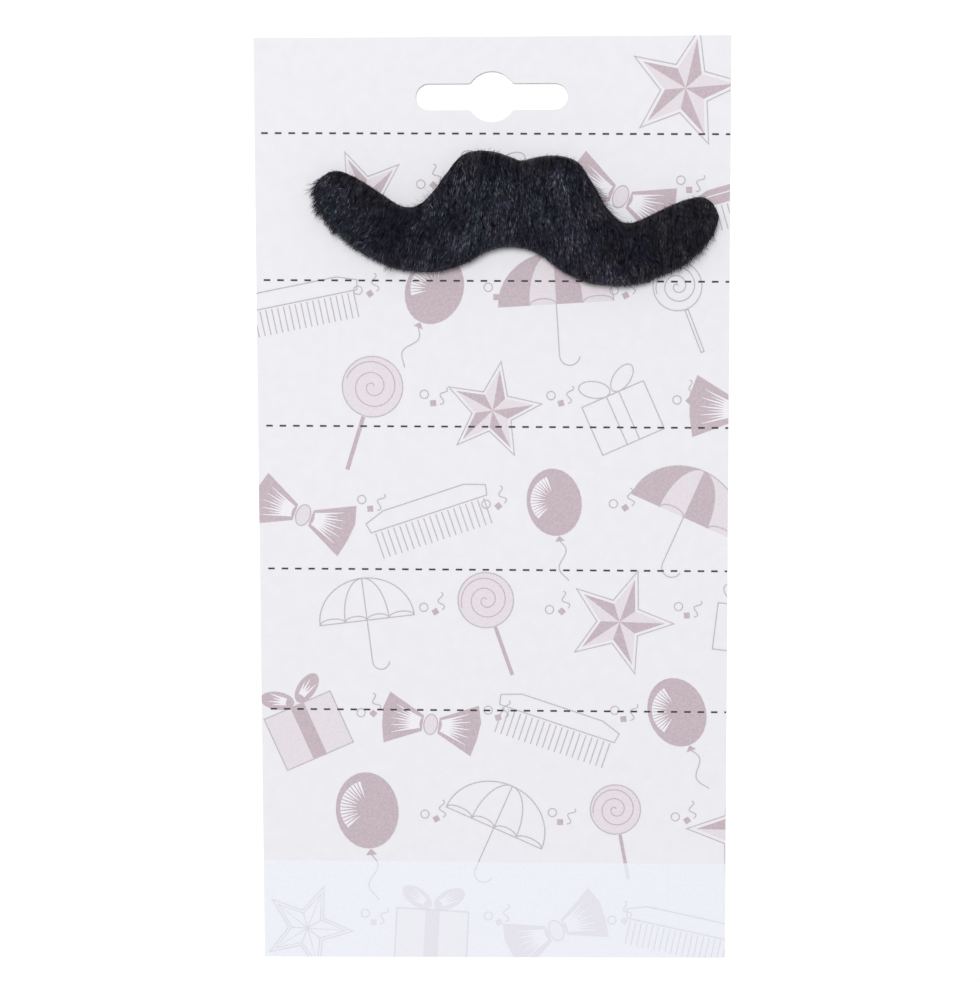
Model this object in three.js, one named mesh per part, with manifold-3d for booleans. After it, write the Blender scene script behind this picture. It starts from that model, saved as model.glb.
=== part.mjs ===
// A stick-on fake moustache of black long-pile fur cloth, on the plain hanging card that carries it.
// Millimetres, +Z up. The card lies face up with its hanging slot towards +Y, and the origin is
// under the middle of the card. From the card upwards: card, adhesive tape, backing cloth, fur pile.
import * as THREE from "three";
import { mergeVertices } from "three/addons/utils/BufferGeometryUtils.js";
import Module from "manifold-3d";

// Card and its hanging slot, a long bar with a round eye in its middle
const CARD_WIDTH = 133;
const CARD_HEIGHT = 262;
const CARD_THICKNESS = 0.5;
const SLOT_WIDTH = 42.5;
const SLOT_BAR_HEIGHT = 7.3;
const SLOT_EYE_DIAMETER = 14;
const SLOT_FILLET = 1.2; // where the bar's edges meet the eye
const SLOT_DROP = 16.5; // from the card's top edge to the middle of the slot

// Moustache as it is cut from the cloth, and where it is stuck on the card
const MOUSTACHE_SPAN = 112.4;
const MOUSTACHE_HEIGHT = 35;
const MOUSTACHE_DROP = 46; // from the card's top edge to the moustache's middle
const MOUSTACHE_SHIFT = 7.2; // to the right of the card's middle
const MOUSTACHE_TILT = -4.3; // degrees, right end low
const TAPE_THICKNESS = 0.4;
const TAPE_MARGIN = 3; // bare cloth between the tape and the cut edge
const CLOTH_THICKNESS = 1;
const STACK_GAP = 0.1; // between one layer and the next

// Fur pile, a dense bed with locks lying over it, all combed from the top edge to the lower edge
const BED_DEPTH = 3.6;
const BED_EDGE_DEPTH = 1.2;
const BED_FULL_WIDTH = 14; // a rib shorter than this has a lower bed
const BED_ROUNDNESS = 4; // power of the rounding towards the edges
const LOCK_LENGTH = 14;
const LOCK_THICKNESS = 1.6;
const LOCK_SEAT = 0.8; // how deep a lock's sides sit in the bed
const LOCK_FLOOR = 0.4; // underside of a lock, over the bed's own
const LOCK_OVERHANG = 1.2; // past the cloth's lower edge
const LOCKS_ALONG = 34;
const LOCK_OVERLAP = 1.3; // a lock's width as a share of the distance to the next one
const LOCK_SWAY = 0.45; // sideways bend of a lock, as a share of that distance
const LOCK_OFFSET = 0.25; // of each row from the left tip, as a share of that distance

// Ribs across the right half of the moustache, from the middle to the tip. A rib runs from the lower
// edge to the top edge. out is a share of half the span, up a share of the height.
const RIBS = [
  { lowOut: 0.0, lowUp: -0.352, topOut: 0.0, topUp: 0.332 },
  { lowOut: 0.06, lowUp: -0.36, topOut: 0.05, topUp: 0.354 },
  { lowOut: 0.14, lowUp: -0.404, topOut: 0.13, topUp: 0.386 },
  { lowOut: 0.22, lowUp: -0.491, topOut: 0.22, topUp: 0.386 },
  { lowOut: 0.3, lowUp: -0.551, topOut: 0.29, topUp: 0.343 },
  { lowOut: 0.38, lowUp: -0.591, topOut: 0.335, topUp: 0.251 },
  { lowOut: 0.45, lowUp: -0.601, topOut: 0.378, topUp: 0.141 },
  { lowOut: 0.515, lowUp: -0.6, topOut: 0.434, topUp: 0.015 },
  { lowOut: 0.585, lowUp: -0.588, topOut: 0.498, topUp: -0.082 },
  { lowOut: 0.65, lowUp: -0.557, topOut: 0.57, topUp: -0.095 },
  { lowOut: 0.73, lowUp: -0.498, topOut: 0.65, topUp: -0.035 },
  { lowOut: 0.8, lowUp: -0.442, topOut: 0.74, topUp: 0.048 },
  { lowOut: 0.87, lowUp: -0.354, topOut: 0.83, topUp: 0.117 },
  { lowOut: 0.935, lowUp: -0.246, topOut: 0.91, topUp: 0.146 },
  { lowOut: 0.978, lowUp: -0.125, topOut: 0.966, topUp: 0.096 },
  { lowOut: 1.0, lowUp: 0.002, topOut: 1.0, topUp: 0.002 },
];

// Rows of locks, from the top edge down. start is a share of the rib, shift a share of the distance
// between two locks, so that each row lies over the joints of the one before.
const LOCK_ROWS = [
  { start: 0.98, shift: 0.0 },
  { start: 0.76, shift: 0.5 },
  { start: 0.52, shift: 0.0 },
  { start: 0.3, shift: 0.5 },
];

// Sections along one lock, from its root to its tip. along is a share of its length, width of its
// half width, lift of its thickness and sway of its sideways bend.
const LOCK_SECTIONS = [
  { along: 0.0, width: 0.5, lift: 0.1, sway: 0.0 },
  { along: 0.25, width: 1.0, lift: 0.9, sway: 0.35 },
  { along: 0.65, width: 0.8, lift: 1.0, sway: 0.2 },
  { along: 1.0, width: 0.06, lift: 0.3, sway: 1.0 },
];

// A lock's ridged cross-section. side is a share of its half width there, rise of its lift.
const LOCK_RIDGE = [
  { side: -1, rise: 0.0 },
  { side: 0, rise: 1.0 },
  { side: 1, rise: 0.0 },
];

const OUTLINE_STEPS = 90; // along each edge of the cloth
const BED_STEPS_ALONG = 44;
const BED_STEPS_ACROSS = 6;
const ARC_SEGMENTS = 12;
const MERGE_DISTANCE = 1e-4;
const MIN_WALL = 0.15; // least height of a lock's side over its underside
const INSET_LEAST_RIB = 3; // shortest rib that a drawn-in outline keeps, in margins
const SWAY_STEP_ALONG = 2.4; // radians from one lock to the next
const SWAY_STEP_ROW = 1.7; // radians from one row to the next

const wasm = await Module();
wasm.setup();

// The two edges of the whole moustache, from the left tip to the right tip, as smooth curves.
function edgeCurve(outColumn, upColumn) {
  const place = (rib, side) =>
    new THREE.Vector2(
      (side * rib[outColumn] * MOUSTACHE_SPAN) / 2,
      rib[upColumn] * MOUSTACHE_HEIGHT,
    );
  const left = RIBS.slice(1).reverse();
  return new THREE.SplineCurve([
    ...left.map((rib) => place(rib, -1)),
    ...RIBS.map((rib) => place(rib, 1)),
  ]);
}
const lowEdge = edgeCurve("lowOut", "lowUp");
const topEdge = edgeCurve("topOut", "topUp");

const clamp = THREE.MathUtils.clamp;
const ribLength = (along) => topEdge.getPoint(along).distanceTo(lowEdge.getPoint(along));

// A point in plan. along runs from 0 at the left tip to 1 at the right, across from 0 at the lower
// edge to 1 at the top edge; below 0 it is past the lower edge.
function planPoint(along, across) {
  const at = clamp(along, 0, 1);
  return lowEdge.getPoint(at).lerp(topEdge.getPoint(at), across);
}

// The cut outline, or one drawn in along the ribs by a margin. Ribs too short for it are left out.
function outlineShape(margin) {
  const low = [];
  const top = [];
  for (let i = 0; i <= OUTLINE_STEPS; i++) {
    const along = i / OUTLINE_STEPS;
    const length = ribLength(along);
    if (length < INSET_LEAST_RIB * margin) continue;
    const inset = length > 0 ? margin / length : 0;
    low.push(planPoint(along, inset));
    top.push(planPoint(along, 1 - inset));
  }
  const loop = [...low, ...top.reverse()];
  const apart = loop.filter(
    (point, i) => point.distanceTo(loop[(i + 1) % loop.length]) > MERGE_DISTANCE,
  );
  return new THREE.Shape(apart);
}

function plate(shape, thickness) {
  return new THREE.ExtrudeGeometry(shape, {
    depth: thickness,
    bevelEnabled: false,
    curveSegments: ARC_SEGMENTS,
  });
}

function cardShape() {
  const right = CARD_WIDTH / 2;
  const up = CARD_HEIGHT / 2;
  return new THREE.Shape([
    new THREE.Vector2(-right, -up),
    new THREE.Vector2(right, -up),
    new THREE.Vector2(right, up),
    new THREE.Vector2(-right, up),
  ]);
}

// The hanging slot in one closed path of arcs: the bar's round ends, the eye, and four fillets.
function slotPath() {
  const middle = CARD_HEIGHT / 2 - SLOT_DROP;
  const eye = SLOT_EYE_DIAMETER / 2;
  const bar = SLOT_BAR_HEIGHT / 2;
  const end = SLOT_WIDTH / 2 - bar;
  const rise = bar + SLOT_FILLET;
  const reach = Math.sqrt((eye + SLOT_FILLET) ** 2 - rise ** 2);
  const lean = Math.atan2(rise, reach);
  const quarter = Math.PI / 2;
  const half = Math.PI;
  const path = new THREE.Path();
  path.absarc(end, middle, bar, -quarter, quarter, false);
  path.absarc(reach, middle + rise, SLOT_FILLET, -quarter, lean - half, true);
  path.absarc(0, middle, eye, lean, half - lean, false);
  path.absarc(-reach, middle + rise, SLOT_FILLET, -lean, -quarter, true);
  path.absarc(-end, middle, bar, quarter, half + quarter, false);
  path.absarc(-reach, middle - rise, SLOT_FILLET, quarter, lean, true);
  path.absarc(0, middle, eye, half + lean, 2 * half - lean, false);
  path.absarc(reach, middle - rise, SLOT_FILLET, half - lean, quarter, true);
  path.closePath();
  return path;
}

function cardGeometry() {
  const shape = cardShape();
  shape.holes.push(slotPath());
  return plate(shape, CARD_THICKNESS);
}

// One closed solid from rows of points and triangles, with points that meet made one.
function solidFrom(points, triangles) {
  const loose = new THREE.BufferGeometry();
  loose.setAttribute("position", new THREE.Float32BufferAttribute(points.flat(), 3));
  loose.setIndex(triangles.flat());
  const merged = mergeVertices(loose, MERGE_DISTANCE);
  const corners = Array.from(merged.index.array);
  const kept = [];
  for (let i = 0; i < corners.length; i += 3) {
    const [a, b, c] = corners.slice(i, i + 3);
    if (a !== b && b !== c && c !== a) kept.push(a, b, c);
  }
  return new wasm.Manifold(
    new wasm.Mesh({
      numProp: 3,
      vertProperties: merged.attributes.position.array,
      triVerts: new Uint32Array(kept),
    }),
  );
}

function geometryOf(solid) {
  const mesh = solid.getMesh();
  const geometry = new THREE.BufferGeometry();
  geometry.setAttribute("position", new THREE.BufferAttribute(mesh.vertProperties, mesh.numProp));
  geometry.setIndex(new THREE.BufferAttribute(mesh.triVerts, 1));
  geometry.computeVertexNormals();
  return geometry;
}

// Depth of the bed over its flat underside: thin at both edges, and lower where the ribs are short.
function bedDepth(along, across) {
  const fromMiddle = Math.abs(2 * clamp(across, 0, 1) - 1);
  const roundness = Math.sqrt(1 - fromMiddle ** BED_ROUNDNESS);
  const fullness = Math.min(1, ribLength(clamp(along, 0, 1)) / BED_FULL_WIDTH);
  return BED_EDGE_DEPTH + (BED_DEPTH - BED_EDGE_DEPTH) * roundness * fullness;
}

function bedSolid() {
  const points = [];
  const triangles = [];
  const wide = BED_STEPS_ACROSS + 1;
  const quad = (a, b, c, d) => triangles.push([a, b, c], [a, c, d]);
  for (let i = 0; i <= BED_STEPS_ALONG; i++) {
    for (let j = 0; j < wide; j++) {
      const along = i / BED_STEPS_ALONG;
      const across = j / BED_STEPS_ACROSS;
      const { x, y } = planPoint(along, across);
      points.push([x, y, 0], [x, y, bedDepth(along, across)]);
    }
  }
  const under = (i, j) => 2 * (i * wide + j);
  const over = (i, j) => under(i, j) + 1;
  for (let i = 0; i < BED_STEPS_ALONG; i++) {
    for (let j = 0; j < BED_STEPS_ACROSS; j++) {
      quad(over(i, j), over(i + 1, j), over(i + 1, j + 1), over(i, j + 1));
      quad(under(i, j), under(i, j + 1), under(i + 1, j + 1), under(i + 1, j));
    }
    const top = BED_STEPS_ACROSS;
    quad(under(i, 0), under(i + 1, 0), over(i + 1, 0), over(i, 0));
    quad(under(i + 1, top), under(i, top), over(i, top), over(i + 1, top));
  }
  return solidFrom(points, triangles);
}

// A share between -1 and 1 that changes from lock to lock.
const unevenness = (i, row) => Math.sin(i * SWAY_STEP_ALONG + row * SWAY_STEP_ROW);

// One lock of fur. It leaves the bed at its root, lies over it down the rib and tapers to a tip.
function lockSolid(along, start, sway) {
  const rib = ribLength(along);
  const length = Math.min(LOCK_LENGTH, start * rib + LOCK_OVERHANG);
  const points = [];
  const triangles = [];
  for (const section of LOCK_SECTIONS) {
    const across = start - (section.along * length) / rib;
    const middle = along + (sway * section.sway * LOCK_SWAY) / LOCKS_ALONG;
    const ring = LOCK_RIDGE.map((corner) => {
      const beside = middle + (corner.side * section.width * LOCK_OVERLAP) / (2 * LOCKS_ALONG);
      const { x, y } = planPoint(beside, across);
      const seat = Math.max(bedDepth(beside, across) - LOCK_SEAT, LOCK_FLOOR + MIN_WALL);
      return [x, y, seat + (LOCK_SEAT + LOCK_THICKNESS) * section.lift * corner.rise];
    });
    const [left, right] = [ring[0], ring[ring.length - 1]];
    points.push(...ring, [right[0], right[1], LOCK_FLOOR], [left[0], left[1], LOCK_FLOOR]);
  }
  const wide = LOCK_RIDGE.length + 2;
  const last = LOCK_SECTIONS.length - 1;
  for (let row = 0; row < last; row++) {
    for (let side = 0; side < wide; side++) {
      const next = (side + 1) % wide;
      const a = row * wide + side;
      const b = row * wide + next;
      triangles.push([a, a + wide, b + wide], [a, b + wide, b]);
    }
  }
  for (let side = 1; side < wide - 1; side++) {
    triangles.push([0, side, side + 1]);
    triangles.push([last * wide, last * wide + side + 1, last * wide + side]);
  }
  return solidFrom(points, triangles);
}

function pileGeometry() {
  const locks = [];
  LOCK_ROWS.forEach(({ start, shift }, row) => {
    for (let i = 1; i < LOCKS_ALONG - 1; i++) {
      const along = (i + LOCK_OFFSET + shift) / LOCKS_ALONG;
      locks.push(lockSolid(along, start, unevenness(i, row)));
    }
  });
  return geometryOf(locks.reduce((whole, lock) => whole.add(lock), bedSolid()));
}

const paper = new THREE.MeshStandardMaterial({ color: 0xededf1, roughness: 0.55, metalness: 0 });
const adhesive = new THREE.MeshStandardMaterial({ color: 0xe6e2d6, roughness: 0.4, metalness: 0 });
const knit = new THREE.MeshStandardMaterial({ color: 0x1c1b20, roughness: 0.95, metalness: 0 });
const fur = new THREE.MeshStandardMaterial({ color: 0x26262d, roughness: 0.6, metalness: 0 });

function piece(name, geometry, material, height) {
  const mesh = new THREE.Mesh(geometry, material);
  mesh.name = name;
  mesh.position.z = height;
  return mesh;
}

// Heights over the card's face, one layer on the other
const clothHeight = TAPE_THICKNESS + STACK_GAP;
const pileHeight = clothHeight + CLOTH_THICKNESS + STACK_GAP;

const moustache = new THREE.Group();
moustache.position.set(
  MOUSTACHE_SHIFT,
  CARD_HEIGHT / 2 - MOUSTACHE_DROP,
  CARD_THICKNESS + STACK_GAP,
);
moustache.rotation.z = THREE.MathUtils.degToRad(MOUSTACHE_TILT);
moustache.add(piece("adhesive_tape", plate(outlineShape(TAPE_MARGIN), TAPE_THICKNESS), adhesive, 0));
moustache.add(piece("backing_cloth", plate(outlineShape(0), CLOTH_THICKNESS), knit, clothHeight));
moustache.add(piece("fur_pile", pileGeometry(), fur, pileHeight));

const part = new THREE.Group();
part.add(piece("card", cardGeometry(), paper, 0));
part.add(moustache);

export default part;
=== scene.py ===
import math
from collections import namedtuple

import bmesh
import bpy
import numpy as np
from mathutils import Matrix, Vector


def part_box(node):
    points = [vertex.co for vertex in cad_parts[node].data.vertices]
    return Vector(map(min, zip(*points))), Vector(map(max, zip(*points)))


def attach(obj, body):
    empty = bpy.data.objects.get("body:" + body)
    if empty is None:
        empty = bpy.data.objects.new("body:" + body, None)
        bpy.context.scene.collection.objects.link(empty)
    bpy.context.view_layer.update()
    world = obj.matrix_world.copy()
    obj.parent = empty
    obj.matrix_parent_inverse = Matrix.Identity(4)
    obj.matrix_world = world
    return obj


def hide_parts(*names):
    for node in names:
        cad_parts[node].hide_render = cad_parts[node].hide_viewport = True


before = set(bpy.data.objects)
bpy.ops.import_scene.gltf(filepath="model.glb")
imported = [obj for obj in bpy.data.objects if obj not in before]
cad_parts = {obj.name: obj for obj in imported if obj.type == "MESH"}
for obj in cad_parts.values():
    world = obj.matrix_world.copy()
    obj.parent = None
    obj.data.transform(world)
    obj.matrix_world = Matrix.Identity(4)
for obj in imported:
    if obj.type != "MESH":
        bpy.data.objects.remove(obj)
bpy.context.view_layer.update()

# Camera, fitted to the card's four corners in the photograph. Metres and degrees.
CAMERA_LENS = 60
CAMERA_AT = (0.0066, 0.0364, 0.4632)
CAMERA_TURN = (-3.967, 0.905, -0.163)

# The fur is worked out in millimetres in the moustache's own frame: x along its span, y up, and z
# from the underside of the pile. A pair of numbers here is a least and a most.
MM = 0.001
PILE_HEIGHT = 4.5
PILE_EDGE_HEIGHT = 1.2
PILE_ROLL = 6.0  # width of the rounding at the cut edges
OUTER_SLOPE = 0.6  # of the pile's surface past the cut edge
OUTER_REACH = 4  # how far out that slope goes
UNDERLAY = 0.5  # how far the dark base lies under the fibres
FLOOR_OF_FUR = -1.5  # no fibre goes lower than this

# Fibres
PILE_PIECES = 5
PILE_FIBRES = 23500
EDGE_FIBRES = 3200
FIBRE_LENGTH = 5.0
FIBRE_RADIUS = 0.115
RADIUS_RANGE = (0.6, 1.3)  # of FIBRE_RADIUS
FIBRE_STEPS = 6
FIBRE_SIDES = 3
ROOT_INSET = 0.05  # of the pile's roots from the cut edge
EDGE_ROOTS = (-0.15, 0.7)  # how far below the top edge the edge's own roots lie
LEAST_OVERHANG = 0.12
OVERHANG = 0.2  # mean length past the cut edge, times stray in the table below
MOST_OVERHANG = 1.0
SPREAD_TRIES = 4  # points drawn for each one that has to land inside the outline
BATCH = 2000  # fibres matched with their clumps at a time

# Clumps, and how single fibres differ from their clump. Turns are in degrees.
CLUMP_AREA = 0.8  # square millimetres to a clump
CLUMP_TURN = 7
CLUMP_LEVEL = 0.25
CLUMP_LENGTH = (0.7, 1.15)  # of FIBRE_LENGTH
CLUMP_PULL = (0.3, 0.85)  # share of the way by which a fibre's tip is drawn to its clump's
OWN_TURN = 6
OWN_LEVEL = 0.16
OWN_LENGTH = (0.75, 1.1)  # of the clump's length
OWN_PHASE = 0.6
CRIMP_WAVE = 1.9
CRIMP_DEPTH = (0.08, 0.3)
CRIMP_RISE = 0.5  # its height as a share of its depth

# Height of a fibre against the pile's surface
ROOT_DEPTH = 1.1
TIP_RISE = 1.15
TIP_DROOP = 0.35  # share of the rise lost at the tip
RISE_POWER = 4
SWELL_HEIGHT = 0.35
STRAND_HEIGHT = 0.28
RIDGE_INSET = 1  # no swell or strand is raised nearer the cut edge than this

# Wandering of the combing and of the colour, each with the distance over which it changes
FAR_TURN, FAR_WANDER = 10, 7.0
NEAR_TURN, NEAR_WANDER = 8, 2.2
SWELL_WANDER = 5.0
HUE_WANDER = 5.0
PATCH_WANDER = 8.0
BLOTCH_WANDER = 3.0
STRAND_WIDTH = 0.8
STRAND_LENGTH = 6.5

# Tone and tint of a fibre, both between 0 and 1, as places on the material's two ramps
MEAN_TONE = 0.33
TONE_SHAPE = (1.9, 3.6)  # of the beta distribution that tones are drawn from
LOW_CALM = 0.3  # share of the contrast lost at the lower edge
# Painted shade: the fur is darkened below the top edge, where shade falls among the roots.
TOP_SHADE_BAND = 4.5  # stretch below the top edge that gets painted shade, where only the fibres' shaded roots show
TOP_EDGE_PAINTED_SHADE = 0.4
PATCH_SHADE = 0.22
BLOTCH_SHADE = 0.18
# Painted light and shade: fibres on raised strands are paler and those in the gaps darker.
STRAND_PAINTED_SHADE = 0.4
ROOT_PAINTED_SHADE = 0.5  # tone at the root of a fibre as a share of the tone at its tip: painted shade deep in the pile
CREST_HIGHLIGHT = 0.5  # painted highlight: how much paler a fibre is on the crests of its crimp
HUE_TINT = 0.36
ROOT_TINT = 0.45
OWN_TINT = 0.08
RAMP_ENDS = (0.02, 0.98)

# How the fur is combed, by place along the span: out is -1 at the left tip and 1 at the right. lean
# is the direction in degrees from straight down, to the right if positive. unruly multiplies how far
# the fibres turn from it, and stray how far they pass the cut edge. tint is their place on the ramp
# of tints. top, middle and low multiply their tone from the upper edge to the lower; they are partly
# painted shade, their lowest values darkening the fur below the valleys' top edge.
COMBING = {
    "out": (-1.00, -0.85, -0.60, -0.40, -0.25, 0.00, 0.25, 0.48, 0.65, 0.85, 1.00),
    "lean": (-46, -34, -26, -18, -12, 0, 5, 7, 8, 6, 16),
    "unruly": (1.5, 2.2, 2.1, 1.6, 1.3, 1.1, 1.2, 1.5, 1.8, 2.2, 2.2),
    "stray": (3.4, 1.6, 0.7, 0.5, 0.5, 0.5, 0.5, 0.5, 1.1, 1.3, 0.5),
    "tint": (0.34, 0.34, 0.40, 0.36, 0.34, 0.34, 0.38, 0.60, 0.70, 0.78, 0.80),
    "top": (1.24, 1.04, 0.46, 1.16, 0.88, 0.88, 1.10, 0.70, 0.72, 0.84, 0.88),
    "middle": (1.44, 0.94, 0.46, 0.86, 0.88, 1.07, 0.94, 0.40, 0.60, 0.80, 0.76),
    "low": (1.48, 1.12, 1.22, 1.10, 1.02, 1.02, 1.10, 1.26, 1.16, 0.84, 0.80),
}

# Tufts and single stray hairs. out is the place along the span, and spread how far from it they
# start. top tells the upper edge from the lower. hairs is their number, lean is as above, bend is how
# far single hairs turn from it, in degrees, length is in millimetres, and thick multiplies their
# radius.
Tuft = namedtuple("Tuft", "out spread top hairs length lean bend thick")
TUFTS = [
    Tuft(-0.98, 0.02, False, 170, 2.5, -38, 12, 1.5),
    Tuft(-0.98, 0.012, False, 34, 3.4, -30, 6, 1.4),
    Tuft(-0.975, 0.025, True, 90, 4.2, -45, 10, 1.4),
    Tuft(-0.93, 0.05, False, 120, 1.7, -30, 14, 1.6),
    Tuft(-0.82, 0.12, False, 70, 1.3, -48, 16, 1.2),
    Tuft(-0.61, 0.015, False, 18, 2.0, -34, 8, 1.2),
    Tuft(-0.44, 0.07, True, 30, 1.9, -100, 24, 0.8),
    Tuft(0.38, 0.02, True, 46, 3.4, 60, 14, 1.1),
    Tuft(0.45, 0.05, True, 56, 5.6, 46, 14, 1.0),
    Tuft(0.90, 0.09, False, 110, 2.0, 40, 18, 0.9),
    Tuft(0.00, 0.95, False, 160, 0.7, 0, 35, 1.0),
    Tuft(0.00, 0.95, True, 200, 0.5, 110, 60, 1.0),
]
STRAY_RADIUS = 0.036
STRAY_LENGTHS = (0.5, 1.3)  # of the tuft's length
STRAY_THICKNESSES = (0.7, 1.2)  # of the tuft's radius
STRAY_ROOTS = (0.3, 1.0)  # how far inside the cut edge they start
STRAY_LEVELS = (0.75, 1.05)  # of their roots, as shares of the pile's height there
STRAY_SLOPES = (-0.5, 0.15)  # their rise for each millimetre of length
STRAY_TONES = (0.15, 0.5)
STRAY_TINTS = (0.3, 0.9)
SPAN_ENDS = (-0.995, 0.995)  # no stray hair starts further out

# The card's print, in millimetres from the card's middle: motifs in staggered rows, and dashed lines
DASH_LENGTH = 1.85
DASH_PITCH = 3.82
DASH_WIDTH = (0.5, 0.5)  # at its start and its end
BAND_TOP = -103.0
PRINT_SLOPE = -0.0075  # the print lies a little askew on the card
INK_STEP = 0.015  # height of one ink over the next
BAND_LEVEL = 1  # the title band's height over the card, in such steps
INK_THICKNESS = 0.5  # share of that height
OVERPRINT = 0.06  # share of that height between one mark and the next, so that none coincide
OVERPRINT_STEPS = 16  # marks after which the heights begin again
LINE_WIDTH = (0.3, 0.3)  # at its start and its end
STROKE_WIDTH = (0.85, 0.1)  # at its start and its end
SHARPEST_CORNER = 0.4  # cosine of half the turn, past which a line's corner is cut short
MOTIF_SIZE = 26.0
MOTIF_GROWTH = 0.12  # share by which motifs are larger or smaller, in waves along the print
GROWTH_STEP = 2.7
MOTIF_TURN = 24  # degrees by which they are turned, in waves too
TURN_STEP = 1.9
OUTLINED_EVERY = 3  # one motif of so many is a plain line drawing
MOTIF_ROWS = 9
MOTIF_COLUMNS = 4
ROW_STEP = 30.0
COLUMN_STEP = 36.0
FIRST_MOTIF = (-54.0, 117.0)
CONFETTI_SIZE = 17.0
CONFETTI_RISE = 3.0
SLOT_CLEARANCE = 40.0  # the first row is bare up to here, past the hook slot

# The dashed tear lines: height on the card, and distance from its left edge to the first dash
TEAR_LINES = [
    {"y": 104.3, "start": 1.9},
    {"y": 63.4, "start": 2.1},
    {"y": 22.4, "start": 2.3},
    {"y": -18.3, "start": 2.4},
    {"y": -58.8, "start": 2.6},
]

SEED = 7
rng = np.random.default_rng(SEED)


# Helpers for meshes and materials


def mesh_object(name, points, triangles, material, uv=None, smooth=True):
    """A mesh from arrays. uv, if given, has a row for each point."""
    mesh = bpy.data.meshes.new(name)
    mesh.vertices.add(len(points))
    mesh.vertices.foreach_set("co", np.ascontiguousarray(points, np.float32).ravel())
    mesh.loops.add(3 * len(triangles))
    mesh.loops.foreach_set("vertex_index", np.ascontiguousarray(triangles, np.int32).ravel())
    mesh.polygons.add(len(triangles))
    mesh.polygons.foreach_set("loop_start", np.arange(0, 3 * len(triangles), 3, dtype=np.int32))
    mesh.polygons.foreach_set("use_smooth", np.full(len(triangles), smooth))
    if uv is not None:
        layer = mesh.uv_layers.new(name="OFBake")
        layer.data.foreach_set("uv", uv[triangles.ravel()].astype(np.float32).ravel())
    mesh.update()
    mesh.validate()
    mesh.materials.append(material)
    made = bpy.data.objects.new(name, mesh)
    bpy.context.scene.collection.objects.link(made)
    return made


def new_material(name, roughness, specular=0.5):
    """(material, its tree, its shader node)"""
    material = bpy.data.materials.new(name)
    material.use_nodes = True
    tree = material.node_tree
    shader = tree.nodes["Principled BSDF"]
    shader.inputs["Roughness"].default_value = roughness
    shader.inputs["Specular IOR Level"].default_value = specular
    return material, tree, shader


def ramp(tree, source, stops):
    """The colour of a ramp at a value. stops are pairs of position and linear colour."""
    node = tree.nodes.new("ShaderNodeValToRGB")
    elements = node.color_ramp.elements
    while len(elements) < len(stops):
        elements.new(0.5)
    for element, (position, colour) in zip(elements, stops):
        element.position = position
        element.color = (*colour, 1)
    tree.links.new(source, node.inputs["Fac"])
    return node.outputs["Color"]


def noise(tree, scale, detail=3.0, roughness=0.5):
    """Noise over the object's own coordinates. scale is in cells to the metre."""
    place = tree.nodes.new("ShaderNodeTexCoord")
    node = tree.nodes.new("ShaderNodeTexNoise")
    node.inputs["Scale"].default_value = scale
    node.inputs["Detail"].default_value = detail
    node.inputs["Roughness"].default_value = roughness
    tree.links.new(place.outputs["Object"], node.inputs["Vector"])
    return node.outputs["Fac"]


def bump(tree, shader, height, strength, distance):
    node = tree.nodes.new("ShaderNodeBump")
    node.inputs["Strength"].default_value = strength
    node.inputs["Distance"].default_value = distance
    tree.links.new(height, node.inputs["Height"])
    tree.links.new(node.outputs["Normal"], shader.inputs["Normal"])


# The moustache's outline and its own frame, both from the backing cloth's solid


DIGITS = 6  # corners that agree in so many decimals of a metre are one
TOP_SLACK = 0.01 * MM  # below a solid's highest corner, and still its top face


def outline_of(node):
    """The loop round the node's top face in metres, anticlockwise."""
    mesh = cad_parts[node].data
    corners = np.array([v.co for v in mesh.vertices])
    places, same = np.unique(np.round(corners, DIGITS), axis=0, return_inverse=True)
    same = same.ravel()
    top = places[:, 2].max() - TOP_SLACK
    mesh.calc_loop_triangles()
    edges = set()
    for triangle in mesh.loop_triangles:
        a, b, c = (int(same[i]) for i in triangle.vertices)
        if places[[a, b, c], 2].min() > top:
            edges.update(((a, b), (b, c), (c, a)))
    after = {start: end for start, end in edges if (end, start) not in edges}
    loop = [next(iter(after))]
    while after[loop[-1]] != loop[0]:
        loop.append(after[loop[-1]])
    return places[loop][:, :2]


outline = outline_of("backing_cloth")
apart = np.linalg.norm(outline[:, None] - outline[None], axis=2)
tips = sorted(np.unravel_index(apart.argmax(), apart.shape), key=lambda i: outline[i][0])
left_tip, right_tip = outline[tips[0]], outline[tips[1]]
middle = (left_tip + right_tip) / 2
along_span = (right_tip - left_tip) / np.linalg.norm(right_tip - left_tip)
up_face = np.array([-along_span[1], along_span[0]])
HALF_SPAN = np.linalg.norm(right_tip - left_tip) / 2 / MM
PILE_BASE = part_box("fur_pile")[0].z
PILE_TOP = (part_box("fur_pile")[1].z - PILE_BASE) / MM

outline = np.roll(outline, -tips[0], axis=0)
outline = np.stack([(outline - middle) @ along_span, (outline - middle) @ up_face], axis=1) / MM
LOW_EDGE = outline[: len(outline) // 2 + 1]
TOP_EDGE = np.vstack([outline[:1], outline[len(outline) // 2 :][::-1]])


def to_world(points):
    """Points in the moustache's own frame as metres in the scene."""
    plan = middle + MM * (points[:, :1] * along_span + points[:, 1:2] * up_face)
    return np.column_stack([plan, PILE_BASE + MM * points[:, 2]])


# Distance from the cut edge, on a grid that covers the moustache and its stray hairs

GRID_STEP = 0.4
GRID_MARGIN = 12
GRID_X = np.arange(outline[:, 0].min() - GRID_MARGIN, outline[:, 0].max() + GRID_MARGIN, GRID_STEP)
GRID_Y = np.arange(outline[:, 1].min() - GRID_MARGIN, outline[:, 1].max() + GRID_MARGIN, GRID_STEP)
LAST_CELL = 1.001  # a place on a grid's last line is taken this far from its end


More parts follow.
